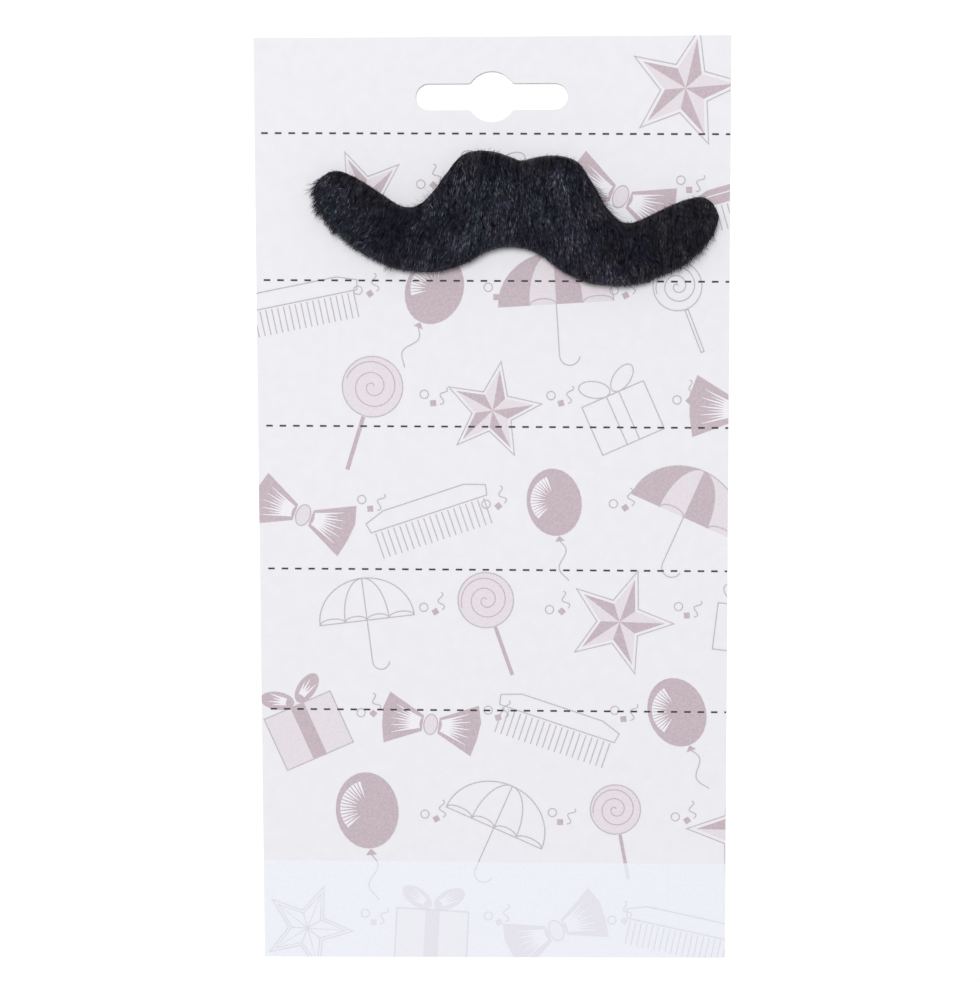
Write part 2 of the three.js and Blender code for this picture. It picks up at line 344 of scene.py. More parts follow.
def distance_grid():
    """Distance to the outline, positive inside it."""
    x, y = np.meshgrid(GRID_X, GRID_Y)
    nearest = np.full(x.shape, np.inf)
    crossings = np.zeros(x.shape, int)
    for (ax, ay), (bx, by) in zip(outline, np.roll(outline, -1, axis=0)):
        share = ((x - ax) * (bx - ax) + (y - ay) * (by - ay)) / ((bx - ax) ** 2 + (by - ay) ** 2)
        share = share.clip(0, 1)
        nearest = np.minimum(nearest, np.hypot(x - ax - share * (bx - ax), y - ay - share * (by - ay)))
        if ay != by:
            crossings += ((ay > y) != (by > y)) & (x < ax + (y - ay) * (bx - ax) / (by - ay))
    return np.where(crossings % 2 == 1, nearest, -nearest)


def bilinear(grid, u, v):
    """Values of a grid between its cells. u counts columns and v rows."""
    u = np.clip(u, 0, grid.shape[1] - LAST_CELL)
    v = np.clip(v, 0, grid.shape[0] - LAST_CELL)
    i, j = u.astype(int), v.astype(int)
    u, v = u - i, v - j
    low = grid[j, i] * (1 - u) + grid[j, i + 1] * u
    high = grid[j + 1, i] * (1 - u) + grid[j + 1, i + 1] * u
    return low * (1 - v) + high * v


inside_grid = distance_grid()


def inside(x, y):
    """How far a point lies inside the cut edge; negative outside it."""
    return bilinear(inside_grid, (x - GRID_X[0]) / GRID_STEP, (y - GRID_Y[0]) / GRID_STEP)


def wander(scale):
    """A smooth random function of x and y, between -1 and 1, that changes over a distance of scale."""
    reach = int(max(GRID_X[-1], -GRID_X[0]) / scale) + 3
    cells = rng.uniform(-1, 1, (2 * reach, 2 * reach))

    def at(x, y):
        u, v = x / scale + reach, y / scale + reach
        i, j = np.floor(u), np.floor(v)
        ease_u = (u - i) ** 2 * (3 - 2 * (u - i))
        ease_v = (v - j) ** 2 * (3 - 2 * (v - j))
        return bilinear(cells, i + ease_u, j + ease_v)

    return at


def pile_surface(x, y):
    """Height of the combed pile: rounded down to the cut edge, and falling further outside it."""
    depth = inside(x, y)
    share = (depth / PILE_ROLL).clip(0, 1)
    crown = np.sqrt(1 - (1 - share) ** 2)
    height = PILE_EDGE_HEIGHT + (PILE_HEIGHT - PILE_EDGE_HEIGHT) * crown
    return height + OUTER_SLOPE * depth.clip(-OUTER_REACH, 0)


def combed(column, x):
    """A column of the table of combing, at places along the span."""
    return np.interp(x / HALF_SPAN, COMBING["out"], COMBING[column])


def height_of(edge, x):
    return np.interp(x, edge[:, 0], edge[:, 1])


def way_down(points):
    """Share of the way from the upper edge to the lower, between 0 and 1."""
    top, low = height_of(TOP_EDGE, points[:, 0]), height_of(LOW_EDGE, points[:, 0])
    return ((top - points[:, 1]) / (top - low).clip(1, None)).clip(0, 1)


def tone_at(x, down):
    """The multiple of the tone, partly painted shade, by place along the span and share of the way down.
    """
    top, half, low = combed("top", x), combed("middle", x), combed("low", x)
    return np.where(down < 0.5, top + (half - top) * 2 * down, half + (low - half) * (2 * down - 1))


# Fibres

SHARES = np.linspace(0, 1, FIBRE_STEPS + 1)[None]  # along a fibre
TINY = 1e-9  # keeps a direction of no length from dividing by nothing


def random_inside(count):
    """Points spread evenly over the cloth."""
    low, high = outline.min(0), outline.max(0)
    points = rng.uniform(low, high, (count * SPREAD_TRIES, 2))
    points = points[inside(points[:, 0], points[:, 1]) > ROOT_INSET]
    return points[:count]


turn_far = wander(FAR_WANDER)
turn_near = wander(NEAR_WANDER)
swell = wander(SWELL_WANDER)
hue = wander(HUE_WANDER)
patch = wander(PATCH_WANDER)
blotch = wander(BLOTCH_WANDER)
strand = wander(STRAND_WIDTH)


def strands(x, y):
    """Between -1 and 1, changing quickly across the combing and slowly along it."""
    lean = np.radians(combed("lean", x))
    across = x * np.cos(lean) + y * np.sin(lean)
    along = x * np.sin(lean) - y * np.cos(lean)
    return strand(across, along * STRAND_WIDTH / STRAND_LENGTH)


def combed_paths(roots, length, turn):
    """Paths in plan from each root, a row of points for each, following the combing."""
    points = [roots]
    for _ in range(FIBRE_STEPS):
        x, y = points[-1][:, 0], points[-1][:, 1]
        wayward = FAR_TURN * turn_far(x, y) + NEAR_TURN * turn_near(x, y) + turn
        lean = np.radians(combed("lean", x) + combed("unruly", x) * wayward)
        step = np.stack([np.sin(lean), -np.cos(lean)], axis=1)
        points.append(points[-1] + step * (length / FIBRE_STEPS)[:, None])
    return np.stack(points, axis=1)


def nearest_clump(roots, clumps):
    """The index of the clump that each root belongs to."""
    found = np.empty(len(roots), int)
    for start in range(0, len(roots), BATCH):
        part = roots[start : start + BATCH]
        far = (part[:, None, 0] - clumps[None, :, 0]) ** 2 + (part[:, None, 1] - clumps[None, :, 1]) ** 2
        found[start : start + BATCH] = far.argmin(1)
    return found


def cut_to(paths, allowed):
    """Each path cut where it passes the cut edge by more than is allowed."""
    depth = inside(paths[:, :, 0], paths[:, :, 1])
    kept = np.ones(len(paths))
    for step in range(FIBRE_STEPS):
        before = depth[:, step] + allowed
        after = depth[:, step + 1] + allowed
        crossing = (before >= 0) & (after < 0) & (kept == 1)
        at = SHARES[0, step] + before / np.where(crossing, before - after, 1) / FIBRE_STEPS
        kept = np.where(crossing, at, kept)
    at = kept[:, None] * SHARES * FIBRE_STEPS
    low = np.minimum(at.astype(int), FIBRE_STEPS - 1)
    rest = (at - low)[:, :, None]
    rows = np.arange(len(paths))[:, None]
    return paths[rows, low] * (1 - rest) + paths[rows, low + 1] * rest


def inside_area():
    """The outline's area in square millimetres."""
    x, y = outline[:, 0], outline[:, 1]
    return 0.5 * abs(np.dot(x, np.roll(y, -1)) - np.dot(y, np.roll(x, -1)))


def pile_paths(roots):
    """Paths of combed, clumped and crimped fibres, one for each root, and the phases of their crimp."""
    count = len(roots)
    clumps = random_inside(int(inside_area() / CLUMP_AREA))
    clump = nearest_clump(roots, clumps)
    clump_turn = rng.normal(0, CLUMP_TURN, len(clumps))
    clump_level = rng.normal(0, CLUMP_LEVEL, len(clumps))
    clump_crimp = rng.uniform(*CRIMP_DEPTH, len(clumps))
    clump_phase = rng.uniform(0, 2 * math.pi, len(clumps))
    clump_length = FIBRE_LENGTH * rng.uniform(*CLUMP_LENGTH, len(clumps))
    length = clump_length[clump] * rng.uniform(*OWN_LENGTH, count)
    turn = clump_turn[clump] + rng.normal(0, OWN_TURN, count)
    own = combed_paths(roots, length, turn)
    guide = combed_paths(clumps, clump_length, clump_turn)[clump]
    pull = rng.uniform(*CLUMP_PULL, count)[:, None] * SHARES
    paths = own + (guide - own) * pull[:, :, None]
    phase = (clump_phase[clump] + rng.normal(0, OWN_PHASE, count))[:, None]
    phase = phase + SHARES * length[:, None] * 2 * math.pi / CRIMP_WAVE
    crimp = clump_crimp[clump][:, None]
    paths[:, :, 0] += crimp * np.sin(phase) * SHARES**0.5
    allowed = rng.exponential(OVERHANG, count).clip(0, MOST_OVERHANG)
    paths = cut_to(paths, LEAST_OVERHANG + combed("stray", roots[:, 0]) * allowed)
    x, y = paths[:, :, 0], paths[:, :, 1]
    rise = 1 - (1 - SHARES) ** RISE_POWER - TIP_DROOP * SHARES**RISE_POWER
    level = (clump_level[clump] + rng.normal(0, OWN_LEVEL, count))[:, None]
    height = pile_surface(x, y) - ROOT_DEPTH
    height = height + rise * (TIP_RISE + level + CRIMP_RISE * crimp * np.cos(phase))
    ridges = SWELL_HEIGHT * swell(x, y) + STRAND_HEIGHT * strands(roots[:, 0], roots[:, 1])[:, None]
    height = (height + ridges * (inside(x, y) > RIDGE_INSET)).clip(FLOOR_OF_FUR, PILE_TOP)
    return np.dstack([x, y, height]), phase


def pile_colours(roots, paths, phase):
    """The tone at each point of each fibre, with painted shade and highlights in it, and the tint of
    each fibre.
    """
    count = len(roots)
    x, y = roots[:, 0], roots[:, 1]
    near_top = (1 - (height_of(TOP_EDGE, x) - y) / TOP_SHADE_BAND).clip(0, 1)
    down = way_down(paths[:, FIBRE_STEPS // 2])
    calm = 1 - LOW_CALM * down
    # Painted shade below the top edge, and tone that differs at random in patches and blotches.
    shade = 1 - TOP_EDGE_PAINTED_SHADE * near_top + PATCH_SHADE * patch(x, y) + BLOTCH_SHADE * blotch(x, y)
    # Painted light and shade: paler where the strands are raised, darker in the gaps between them.
    shade = shade + STRAND_PAINTED_SHADE * calm * strands(x, y)
    tone = MEAN_TONE + calm * (rng.beta(*TONE_SHAPE, count) - MEAN_TONE)
    tone = tone * shade * tone_at(x, down)
    # Painted highlights on the crests of each fibre's crimp.
    crest_highlight = CREST_HIGHLIGHT * calm[:, None] * np.cos(phase)
    # Painted shade towards each fibre's root, deep in the pile.
    tone = tone[:, None] * (ROOT_PAINTED_SHADE + (1 - ROOT_PAINTED_SHADE) * np.sqrt(SHARES)) * (1 + crest_highlight)
    tint = combed("tint", x) + HUE_TINT * hue(x, y) + rng.normal(0, OWN_TINT, count)
    tint = tint + ROOT_TINT * near_top
    return tone.clip(*RAMP_ENDS), tint.clip(*RAMP_ENDS)


def edge_roots(count):
    """Roots just inside the top edge, where the fibres start at the cut."""
    at = rng.uniform(0, len(TOP_EDGE) - LAST_CELL, count)
    low = at.astype(int)
    share = (at - low)[:, None]
    on_edge = TOP_EDGE[low] * (1 - share) + TOP_EDGE[low + 1] * share
    found = on_edge - np.column_stack([np.zeros(count), rng.uniform(*EDGE_ROOTS, count)])
    return found[inside(found[:, 0], found[:, 1]) > -LEAST_OVERHANG]


def fibre_thickness(share):
    """Multiple of a fibre's radius along it, greatest at two fifths of its length."""
    return 0.75 + 0.5 * share - 0.95 * share**3


def fibre_mesh(paths, radius):
    """Points and triangles of closed tapered fibres along the paths."""
    count, rings = len(paths), FIBRE_STEPS
    ahead = np.gradient(paths, axis=1)
    ahead /= np.linalg.norm(ahead, axis=2, keepdims=True) + TINY
    side = np.cross(ahead, [0.0, 0.0, 1.0])
    side /= np.linalg.norm(side, axis=2, keepdims=True) + TINY
    lift = np.cross(side, ahead)
    thick = radius[:, None] * fibre_thickness(SHARES[:, :rings])
    spin = rng.uniform(0, 2 * math.pi, count)
    corners = []
    for corner in range(FIBRE_SIDES):
        angle = (spin + 2 * math.pi * corner / FIBRE_SIDES)[:, None, None]
        reach = np.cos(angle) * side[:, :rings] + np.sin(angle) * lift[:, :rings]
        corners.append(paths[:, :rings] + reach * thick[:, :, None])
    ring_points = np.stack(corners, axis=2).reshape(count, rings * FIBRE_SIDES, 3)
    points = np.concatenate([ring_points, paths[:, -1:]], axis=1)
    pattern = []
    for ring in range(rings - 1):
        for corner in range(FIBRE_SIDES):
            a = ring * FIBRE_SIDES + corner
            b = ring * FIBRE_SIDES + (corner + 1) % FIBRE_SIDES
            pattern += [(a, b, b + FIBRE_SIDES), (a, b + FIBRE_SIDES, a + FIBRE_SIDES)]
    tip = rings * FIBRE_SIDES
    for corner in range(FIBRE_SIDES):
        a = tip - FIBRE_SIDES + corner
        b = tip - FIBRE_SIDES + (corner + 1) % FIBRE_SIDES
        pattern.append((a, b, tip))
    pattern.append(tuple(range(FIBRE_SIDES))[::-1])
    starts = np.arange(count)[:, None, None] * (tip + 1)
    return points.reshape(-1, 3), (np.array(pattern)[None] + starts).reshape(-1, 3)


def fibre_object(name, paths, tone, tint, radius, material):
    points, triangles = fibre_mesh(paths, radius)
    way = np.append(np.repeat(np.arange(FIBRE_STEPS), FIBRE_SIDES), FIBRE_STEPS)
    uv = np.column_stack([tone[:, way].ravel(), np.repeat(tint, len(way))])
    made = mesh_object(name, to_world(points), triangles, material, uv)
    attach(made, "root")
    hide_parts("fur_pile")
    return made


def fur_material():
    """Colour by the fibres' own map: tone across it, from dark to pale, and tint up it."""
    material, tree, shader = new_material("black_fur_fibres", roughness=0.4, specular=0.2)
    shader.inputs["Specular Tint"].default_value = (0.76, 0.78, 1, 1)
    source = tree.nodes.new("ShaderNodeUVMap")
    source.uv_map = "OFBake"
    parts = tree.nodes.new("ShaderNodeSeparateXYZ")
    tree.links.new(source.outputs["UV"], parts.inputs["Vector"])
    tones = ramp(
        tree,
        parts.outputs["X"],
        [
            (0.0, (0.002, 0.002, 0.004)),
            (0.25, (0.0135, 0.0135, 0.0182)),
            (0.5, (0.0545, 0.0535, 0.0592)),
            (0.75, (0.15, 0.145, 0.146)),
            (1.0, (0.30, 0.29, 0.28)),
        ],
    )
    tints = ramp(
        tree,
        parts.outputs["Y"],
        [
            (0.0, (0.74, 1.0, 1.06)),
            (0.3, (0.88, 0.94, 1.18)),
            (0.5, (0.9, 0.87, 1.26)),
            (0.7, (0.98, 0.96, 1.08)),
            (1.0, (1.06, 0.98, 0.96)),
        ],
    )
    mix = tree.nodes.new("ShaderNodeMix")
    mix.data_type = "RGBA"
    mix.blend_type = "MULTIPLY"
    mix.inputs["Factor"].default_value = 1
    tree.links.new(tones, mix.inputs["A"])
    tree.links.new(tints, mix.inputs["B"])
    tree.links.new(mix.outputs["Result"], shader.inputs["Base Color"])
    return material


def stray_hairs():
    """Paths and radii of the tufts and stray hairs, which start a little inside the cut edge."""
    found = []
    radii = []
    for tuft in TUFTS:
        count = tuft.hairs
        x = HALF_SPAN * (tuft.out + tuft.spread * rng.uniform(-1, 1, count)).clip(*SPAN_ENDS)
        y = height_of(TOP_EDGE if tuft.top else LOW_EDGE, x)
        lean = np.radians(tuft.lean + rng.normal(0, tuft.bend, count))
        bend = np.radians(rng.normal(0, 2 * tuft.bend, count))
        length = tuft.length * rng.uniform(*STRAY_LENGTHS, count)
        sunk = rng.uniform(*STRAY_ROOTS, count)
        x, y = x - sunk * np.sin(lean), y + sunk * np.cos(lean)
        z = pile_surface(x, y) * rng.uniform(*STRAY_LEVELS, count)
        path = [np.column_stack([x, y, z])]
        fall = rng.uniform(*STRAY_SLOPES, count)
        for step in range(FIBRE_STEPS):
            turn = lean + bend * step / FIBRE_STEPS
            ahead = np.column_stack([np.sin(turn), -np.cos(turn), fall])
            path.append(path[-1] + ahead * ((length + sunk) / FIBRE_STEPS)[:, None])
        path = np.stack(path, axis=1)
        path[:, :, 2] = path[:, :, 2].clip(FLOOR_OF_FUR, PILE_TOP)
        found.append(path)
        radii.append(STRAY_RADIUS * tuft.thick * rng.uniform(*STRAY_THICKNESSES, count))
    return np.concatenate(found), np.concatenate(radii)


def fur():
    """The pile in pieces from left to right, and then the stray hairs."""
    fibres = fur_material()
    roots = np.vstack([random_inside(PILE_FIBRES), edge_roots(EDGE_FIBRES)])
    paths, phase = pile_paths(roots)
    tone, tint = pile_colours(roots, paths, phase)
    radius = FIBRE_RADIUS * rng.uniform(*RADIUS_RANGE, len(roots))
    order = np.argsort(roots[:, 0])
    for number, part in enumerate(np.array_split(order, PILE_PIECES), start=1):
        name = f"fur_fibres_{number}"
        fibre_object(name, paths[part], tone[part], tint[part], radius[part], fibres)
    strays, stray_radius = stray_hairs()
    stray_tone = rng.uniform(*STRAY_TONES, (len(strays), FIBRE_STEPS + 1))
    stray_tint = rng.uniform(*STRAY_TINTS, len(strays))
    fibre_object("fur_strays", strays, stray_tone, stray_tint, stray_radius, fibres)


fur()


# Dark base under the fibres

BASE_STEPS = 20
BASE_INSET = 0.02  # share of the width by which it stays inside the cut edge


def base_material():
    material, tree, shader = new_material("fur_base", roughness=0.9, specular=0.1)
    mottle = noise(tree, scale=900, detail=4)
    stops = [(0.3, (0.002, 0.002, 0.003)), (0.7, (0.006, 0.006, 0.008))]
    tree.links.new(ramp(tree, mottle, stops), shader.inputs["Base Color"])
    bump(tree, shader, mottle, strength=0.6, distance=0.0004)
    return material


def base_object():
    """A closed body whose top follows the pile's surface, a little below it."""
    ease = (1 - np.cos(np.linspace(0, math.pi, BASE_STEPS + 1))) / 2
    across = BASE_INSET + (1 - 2 * BASE_INSET) * ease
    rows = LOW_EDGE[:, None] * (1 - across)[None, :, None] + TOP_EDGE[:, None] * across[None, :, None]
    x, y = rows[:, :, 0], rows[:, :, 1]
    rim = (across == across[0]) | (across == across[-1])
    height = pile_surface(x, y) - UNDERLAY
    upper = np.dstack([x, y, np.where(rim[None], PILE_EDGE_HEIGHT - UNDERLAY, height)])
    lower = np.dstack([x, y, np.zeros_like(x)])
    wide = BASE_STEPS + 1
    half = x.size
    triangles = []
    for i in range(len(LOW_EDGE) - 1):
        for j in range(BASE_STEPS):
            a, b = i * wide + j, (i + 1) * wide + j
            triangles += [(a, b, b + 1), (a, b + 1, a + 1)]
            triangles += [(half + a, half + b + 1, half + b), (half + a, half + a + 1, half + b + 1)]
        a, b = i * wide, (i + 1) * wide
        triangles += [(half + a, half + b, b), (half + a, b, a)]
        a, b = a + BASE_STEPS, b + BASE_STEPS
        triangles += [(half + b, half + a, a), (half + b, a, b)]
    points = np.vstack([upper.reshape(-1, 3), lower.reshape(-1, 3)])
    made = mesh_object("fur_base", to_world(points), np.array(triangles), base_material())
    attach(made, "root")
    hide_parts("fur_pile")


base_object()


# Card


def paper_material():
    material, tree, shader = new_material("coated_card", roughness=0.6, specular=0.3)
    mottle = noise(tree, scale=260, detail=5, roughness=0.6)
    stops = [(0.35, (0.742, 0.737, 0.768)), (0.65, (0.762, 0.757, 0.787))]
    tree.links.new(ramp(tree, mottle, stops), shader.inputs["Base Color"])
    bump(tree, shader, noise(tree, scale=4200), strength=0.12, distance=0.00005)
    return material


def finish_node(node, material):
    """Gives a carried-over CAD node its material."""
    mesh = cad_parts[node].data
    mesh.materials.clear()
    mesh.materials.append(material)


def knit_material():
    material, tree, shader = new_material("black_knit", roughness=0.95, specular=0.1)
    mottle = noise(tree, scale=2600, detail=2)
    stops = [(0.3, (0.006, 0.006, 0.007)), (0.7, (0.018, 0.016, 0.018))]
    tree.links.new(ramp(tree, mottle, stops), shader.inputs["Base Color"])
    bump(tree, shader, mottle, strength=0.5, distance=0.0002)
    return material


def tape_material():
    material, tree, shader = new_material("tape_film", roughness=0.35, specular=0.4)
    mottle = noise(tree, scale=700)
    stops = [(0.3, (0.74, 0.71, 0.62)), (0.7, (0.80, 0.77, 0.69))]
    tree.links.new(ramp(tree, mottle, stops), shader.inputs["Base Color"])
    return material


# Print on the card: generic party motifs. A motif is a list of marks (ink, shape, points), drawn
# about 1 unit high around its own middle. A shape is a filled one, or else an open line, a closed
# loop, a dash or a tapering stroke.


def arc(x, y, across, up=None, start=0, end=360, points=28):
    """Points of an arc of an ellipse about x, y."""
    turn = np.radians(np.linspace(start, end, points, endpoint=end - start < 360))
    return np.column_stack([x + across * np.cos(turn), y + (up or across) * np.sin(turn)])


SHORTER = 0.25  # share by which every other stroke of a fan is shorter


def fan(x, y, near, far, start, end, count):
    """Strokes that spread from x, y like the lines of an engraving."""
    marks = []
    for number, angle in enumerate(np.radians(np.linspace(start, end, count))):
        ahead = np.array([math.cos(angle), math.sin(angle)])
        reach = far - SHORTER * (far - near) * (number % 2)
        marks.append(("bare", "stroke", np.array([(x, y) + near * ahead, (x, y) + reach * ahead])))
    return marks


def balloon():
    drop = np.linspace(0, 1, 20)
    string = np.column_stack([0.06 * np.sin(7 * drop), -0.31 - 0.5 * drop])
    knot = np.array([(-0.06, -0.31), (0.06, -0.31), (0.01, -0.25), (-0.01, -0.25)])
    marks = [("flat", "fill", arc(0, 0.18, 0.34, 0.42)), ("flat", "fill", knot)]
    shine = fan(0.02, 0.2, near=0.31, far=0.13, start=105, end=215, count=15)
    return marks + [("line", "line", string)] + shine


def bow_tie():
    upper = [(0.1, 0.1), (0.3, 0.2), (0.56, 0.33), (0.62, 0.12)]
    wing = np.array(upper + [(0.6, -0.1), (0.55, -0.32), (0.1, -0.1)])
    knot = arc(0, 0, 0.085, 0.13)
    marks = [("flat", "fill", wing), ("flat", "fill", wing * (-1, 1)), ("wash", "fill", knot)]
    marks.append(("line", "loop", knot))
    marks += fan(0, 0, near=0.14, far=0.5, start=-22, end=24, count=9)
    return marks + fan(0, 0, near=0.14, far=0.5, start=158, end=200, count=9)


def star():
    turns = np.radians(90 + 36 * np.arange(11))
    reach = np.where(np.arange(11) % 2, 0.2, 0.48)
    rim = np.column_stack([reach * np.cos(turns), reach * np.sin(turns)])
    marks = []
    for side in range(10):
        ink = "flat" if side % 2 else "wash"
        marks.append((ink, "fill", np.array([(0, 0), rim[side], rim[side + 1]])))
    return marks + [("line", "loop", 1.2 * rim[:-1])]


def umbrella():
    dome = arc(0, 0, 0.56, 0.5, start=0, end=180)
    outer = arc(0, 0, 0.56, 0.5, start=90, end=180, points=14)
    inner = arc(0, 0, 0.26, 0.5, start=90, end=180, points=12)[1:]
    handle = np.vstack([[(0, 0)], arc(0.1, -0.5, 0.1, 0.1, start=180, end=350, points=10)])
    marks = [("wash", "fill", dome)]
    marks.append(("flat", "fill", np.vstack([outer, inner[::-1]])))
    marks.append(("flat", "fill", np.vstack([(0, 0), (inner * (-1, 1))[::-1], (0, 0.5)])))
    marks.append(("line", "line", dome))
    for panel, reach in ((-0.41, 0.15), (-0.13, 0.13), (0.13, 0.13), (0.41, 0.15)):
        marks.append(("line", "line", arc(panel, 0, reach, 0.06, start=0, end=180, points=9)))
    return marks + [("line", "line", handle)]


def comb():
    right = [(0.6, 0.02), (0.62, 0.12), (0.42, 0.19)]
    spine = np.array([(-0.6, 0.02), *right, (-0.42, 0.19), (-0.62, 0.12)])
    marks = [("flat", "fill", spine), ("bare", "line", np.array([(-0.45, 0.12), (0.45, 0.12)]))]
    for tooth in np.linspace(-0.56, 0.56, 19):
        marks.append(("line", "line", np.array([(tooth, 0), (tooth, -0.26)])))
    return marks


def gift():
    box = np.array([(-0.36, -0.36), (0.36, -0.36), (0.36, 0.2), (-0.36, 0.2)])
    ribbon = box * (0.2, 1)
    marks = [("wash", "fill", box), ("line", "loop", box), ("flat", "fill", ribbon)]
    for side in (-1, 1):
        bow = arc(0.19, 0, 0.17, 0.09) @ np.array([(0.85, 0.52), (-0.52, 0.85)])
        marks.append(("flat", "fill", bow * (side, 1) + (0, 0.22)))
    marks += fan(0, 0.22, near=0.1, far=0.28, start=20, end=44, count=4)
    return marks + fan(0, 0.22, near=0.1, far=0.28, start=136, end=160, count=4)


def lollipop():
    turn = np.linspace(0.6, 5 * math.pi, 60)
    spiral = np.column_stack([turn * np.cos(turn), turn * np.sin(turn)]) * 0.27 / turn[-1]
    stick = np.array([(-0.02, -0.07), (0.02, -0.07), (0.02, -0.62), (-0.02, -0.62)])
    marks = [("wash", "fill", arc(0, 0.24, 0.3)), ("flat", "line", spiral + (0, 0.24))]
    return marks + [("line", "loop", arc(0, 0.24, 0.3)), ("flat", "fill", stick)]


def confetti():
    ring = arc(-0.1, 0.06, 0.07, points=14)
    piece = np.array([(0.06, -0.1), (0.15, -0.06), (0.11, 0.03), (0.02, -0.01)])
    curl = np.linspace(0, 1, 16)
    streamer = np.column_stack([0.2 + 0.05 * np.sin(9 * curl), -0.02 + 0.3 * curl])
    return [("line", "loop", ring), ("flat", "fill", piece), ("line", "line", streamer)]


MOTIFS = [balloon, bow_tie, star, umbrella, comb, gift, lollipop]


def in_outline(motif):
    """The same motif as a plain line drawing."""
    drawn = [mark for mark in motif if mark[0] != "bare"]
    return [("line", "loop" if shape == "fill" else shape, points) for _, shape, points in drawn]


def placed(motif, size, spin, at):
    """The motif's marks sized, turned by the matrix spin, and moved to their place."""
    return [(ink, shape, size * points @ spin + at) for ink, shape, points in motif]


def print_marks():
    """Every mark of the print as (ink, shape, points in millimetres)."""
    marks = []
    for number, (row, column) in enumerate(np.ndindex(MOTIF_ROWS, MOTIF_COLUMNS)):
        x = FIRST_MOTIF[0] + COLUMN_STEP * (column + 0.5 * (row % 2))
        y = FIRST_MOTIF[1] - ROW_STEP * row
        turn = math.radians(MOTIF_TURN * math.sin(TURN_STEP * number))
        size = MOTIF_SIZE * (1 + MOTIF_GROWTH * math.sin(GROWTH_STEP * number))
        spin = np.array([(math.cos(turn), math.sin(turn)), (-math.sin(turn), math.cos(turn))])
        motif = MOTIFS[(2 * row + 3 * column) % len(MOTIFS)]()
        if number % OUTLINED_EVERY == OUTLINED_EVERY - 1:
            motif = in_outline(motif)
        if row > 0 or x > SLOT_CLEARANCE:
            marks += placed(motif, size, spin, (x, y))
        if row > 0:
            gap = (x + 0.5 * COLUMN_STEP, y + CONFETTI_RISE)
            marks += placed(confetti(), CONFETTI_SIZE, spin, gap)
    return marks


card_low, card_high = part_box("card")
HALF_WIDTH = card_high.x / MM
CARD_FOOT = card_low.y / MM
CARD_HEAD = card_high.y / MM


def band_of(points, width, closed):
    """The two sides of a line. width is a pair: its width at the start and at the end."""
    if closed:
        points = np.vstack([points[-1:], points, points[:2]])
    ahead = np.diff(points, axis=0)
    ahead = ahead / np.linalg.norm(ahead, axis=1, keepdims=True)
    before, after = np.vstack([ahead[:1], ahead]), np.vstack([ahead, ahead[-1:]])
    between = before + after
    between = between / np.linalg.norm(between, axis=1, keepdims=True)
    corner = (between * after).sum(1).clip(SHARPEST_CORNER, 1)
    side = np.column_stack([-between[:, 1], between[:, 0]]) / corner[:, None] / 2
    side = side * np.linspace(width[0], width[1], len(points))[:, None]
    left, right = points + side, points - side
    return (left[1:-1], right[1:-1]) if closed else (left, right)


def cut_off(mesh, at, outward):
    """Cuts away what lies outward of a point on the card."""
    everything = mesh.verts[:] + mesh.edges[:] + mesh.faces[:]
    place = (at[0] * MM, at[1] * MM, 0)
    normal = (*outward, 0)
    bmesh.ops.bisect_plane(mesh, geom=everything, plane_co=place, plane_no=normal, clear_outer=True)


def corners_at(mesh, points, height):
    return [mesh.verts.new((x * MM, y * MM, height)) for x, y in points]


def ink_object(name, marks, material, level, low, high):
    """The marks as one thin mesh, cut to the part of the card between the heights low and high."""
    mesh = bmesh.new()
    for number, (_, shape, points) in enumerate(marks):
        height = card_high.z + (level + OVERPRINT * (number % OVERPRINT_STEPS)) * INK_STEP * MM
        if shape == "fill":
            mesh.faces.new(corners_at(mesh, points, height))
            continue
        width = {"stroke": STROKE_WIDTH, "dash": DASH_WIDTH}.get(shape, LINE_WIDTH)
        sides = band_of(points, width, shape == "loop")
        left, right = [corners_at(mesh, side, height) for side in sides]
        for a, b, c, d in zip(right[:-1], right[1:], left[1:], left[:-1]):
            mesh.faces.new((a, b, c, d))
    cut_off(mesh, (0, high), (0, 1))
    cut_off(mesh, (0, low), (0, -1))
    for corner in mesh.verts:
        corner.co.y += PRINT_SLOPE * corner.co.x
    cut_off(mesh, (HALF_WIDTH, 0), (1, 0))
    cut_off(mesh, (-HALF_WIDTH, 0), (-1, 0))
    cut_off(mesh, (0, CARD_HEAD), (0, 1))
    cut_off(mesh, (0, CARD_FOOT), (0, -1))
    bmesh.ops.triangulate(mesh, faces=mesh.faces[:])
    for face in mesh.faces:
        face.normal_update()
        if face.normal.z < 0:
            face.normal_flip()
    data = bpy.data.meshes.new(name)
    mesh.to_mesh(data)
    mesh.free()
    data.materials.append(material)
    made = bpy.data.objects.new(name, data)
    bpy.context.scene.collection.objects.link(made)
    thick = made.modifiers.new("ink_thickness", "SOLIDIFY")
    thick.thickness = INK_THICKNESS * INK_STEP * MM
    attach(made, "root")


def ink_material(name, low, high):
    material, tree, shader = new_material(name, roughness=0.6, specular=0.3)
    stops = [(0.35, low), (0.65, high)]
    tree.links.new(ramp(tree, noise(tree, scale=1500), stops), shader.inputs["Base Color"])
    return material


# Each ink's two linear colours, and the same two where the pale title band lies under it.
INKS = {
    "wash": [(0.67, 0.62, 0.66), (0.71, 0.66, 0.70), (0.75, 0.745, 0.80), (0.77, 0.765, 0.82)],
    "flat": [(0.46, 0.38, 0.42), (0.53, 0.44, 0.48), (0.69, 0.68, 0.74), (0.71, 0.70, 0.76)],
    "bare": [(0.75, 0.74, 0.775), (0.785, 0.78, 0.815), (0.755, 0.76, 0.82), (0.785, 0.79, 0.85)],
    "line": [(0.44, 0.41, 0.44), (0.52, 0.48, 0.51), (0.66, 0.65, 0.71), (0.69, 0.68, 0.74)],
}


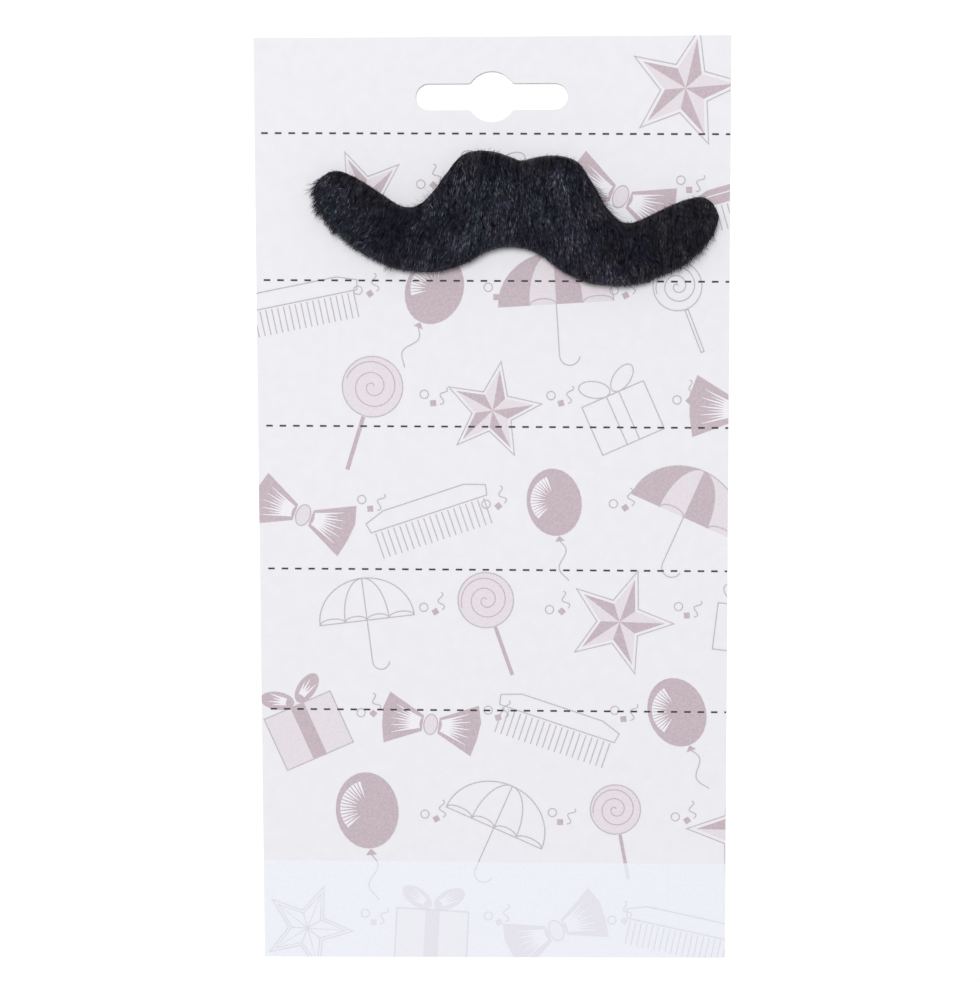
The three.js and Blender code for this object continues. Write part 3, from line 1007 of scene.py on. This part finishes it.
def print_card():
    """The title band, the four inks, each in two parts, and the dashes. Past the card's foot and head
    the inks reach far enough to fill its corners once they lie askew."""
    below = CARD_FOOT + 2 * HALF_WIDTH * PRINT_SLOPE
    above = CARD_HEAD - below + CARD_FOOT
    lower = [(-HALF_WIDTH, below), (HALF_WIDTH, below)]
    upper = [(HALF_WIDTH, BAND_TOP), (-HALF_WIDTH, BAND_TOP)]
    band = ink_material("ink_title_band", (0.755, 0.765, 0.825), (0.78, 0.79, 0.85))
    band_marks = [("band", "fill", np.array(lower + upper))]
    ink_object("title_band", band_marks, band, BAND_LEVEL, below, CARD_HEAD)
    marks = print_marks()
    for level, (ink, (low, high, ghost_low, ghost_high)) in enumerate(INKS.items(), BAND_LEVEL + 1):
        own = [mark for mark in marks if mark[0] == ink]
        bright = ink_material("ink_" + ink, low, high)
        ghost = ink_material("ink_ghost_" + ink, ghost_low, ghost_high)
        ink_object("print_" + ink, own, bright, level, BAND_TOP, above)
        ink_object("ghost_" + ink, own, ghost, level, below, BAND_TOP)
    dark = ink_material("ink_dashes", (0.022, 0.022, 0.027), (0.035, 0.035, 0.042))
    dashes = []
    for row in TEAR_LINES:
        for start in np.arange(row["start"] - HALF_WIDTH, HALF_WIDTH, DASH_PITCH):
            dash = np.array([(start, row["y"]), (start + DASH_LENGTH, row["y"])])
            dashes.append(("dash", "dash", dash))
    top_level = BAND_LEVEL + len(INKS) + 1
    ink_object("tear_lines", dashes, dark, top_level, BAND_TOP, CARD_HEAD)


print_card()
finish_node("card", paper_material())
finish_node("backing_cloth", knit_material())
finish_node("adhesive_tape", tape_material())


# Floor, light and camera

FLOOR_SIZE = 14
FLOOR_GAP = 0.0002  # keeps the floor off the card's back
KEY_AT = (-0.6, 1.05, 4.25)
KEY_SIZE = 2.0
KEY_POWER = 140.5
CLIP_NEAR = 0.01
CLIP_FAR = 20

# The room's light by height: 0 at the horizon, 1 overhead
SKY = [(0.0, 0.88), (0.2, 0.88), (0.42, 0.425), (1.0, 0.425)]


def floor():
    bpy.ops.mesh.primitive_plane_add(size=FLOOR_SIZE, location=(0, 0, -FLOOR_GAP))
    plane = bpy.context.object
    plane.name = "floor"
    material, tree, shader = new_material("white_floor", roughness=0.9, specular=0.0)
    shader.inputs["Base Color"].default_value = (0.96, 0.96, 0.96, 1)
    plane.data.materials.append(material)


def area_light(name, at, size, power):
    """A square lamp that faces the card's middle."""
    light = bpy.data.lights.new(name, "AREA")
    light.size = size
    light.energy = power
    made = bpy.data.objects.new(name, light)
    made.location = at
    toward = -np.array(at)
    made.rotation_euler = (
        math.atan2(math.hypot(toward[0], toward[1]), -toward[2]),
        0,
        math.atan2(toward[0], -toward[1]) + math.pi,
    )
    bpy.context.scene.collection.objects.link(made)


def camera():
    data = bpy.data.cameras.new("camera")
    data.lens = CAMERA_LENS
    data.clip_start = CLIP_NEAR
    data.clip_end = CLIP_FAR
    made = bpy.data.objects.new("camera", data)
    made.location = CAMERA_AT
    made.rotation_euler = [math.radians(angle) for angle in CAMERA_TURN]
    bpy.context.scene.collection.objects.link(made)
    bpy.context.scene.camera = made


def room():
    """Soft white light from all round, brighter towards the horizon."""
    world = bpy.data.worlds.new("studio")
    world.use_nodes = True
    tree = world.node_tree
    place = tree.nodes.new("ShaderNodeTexCoord")
    parts = tree.nodes.new("ShaderNodeSeparateXYZ")
    tree.links.new(place.outputs["Generated"], parts.inputs["Vector"])
    stops = [(height, (level, level, level)) for height, level in SKY]
    tree.links.new(ramp(tree, parts.outputs["Z"], stops), tree.nodes["Background"].inputs["Color"])
    bpy.context.scene.world = world
    bpy.context.scene.view_settings.view_transform = "Standard"


floor()
area_light("key", KEY_AT, KEY_SIZE, KEY_POWER)
room()
camera()
